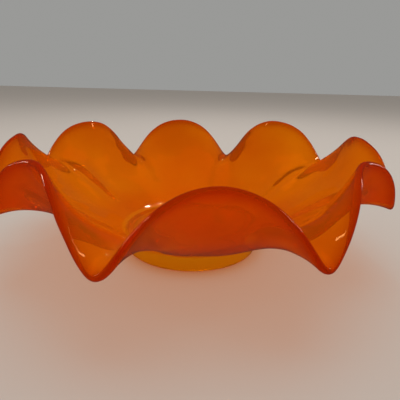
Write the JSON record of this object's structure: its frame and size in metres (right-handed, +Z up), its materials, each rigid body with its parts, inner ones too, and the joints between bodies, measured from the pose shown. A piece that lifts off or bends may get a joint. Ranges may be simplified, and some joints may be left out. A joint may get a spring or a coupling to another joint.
{
  "type": "ruffled glass bowl",
  "caption": "Wide, low bowl of clear orange glass with a deeply ruffled lip, standing on a short amber collar foot.",
  "frame": {"origin": "centre of the foot's ground rim, on the surface that the bowl stands on", "axes": "+Z up; the crest that faces the viewer is 6.5 degrees right of -Y"},
  "size_m": [0.2813, 0.2807, 0.0901],
  "materials": {
    "amber_glass": "polished, clear amber",
    "orange_glass": "fire-polished, clear orange",
    "red_orange_glass": "fire-polished, deeper red-orange"
  },
  "bodies": {
    "root": {"foot": "amber_glass", "body": "orange_glass", "lip": "red_orange_glass"}
  },
  "joints": []
}
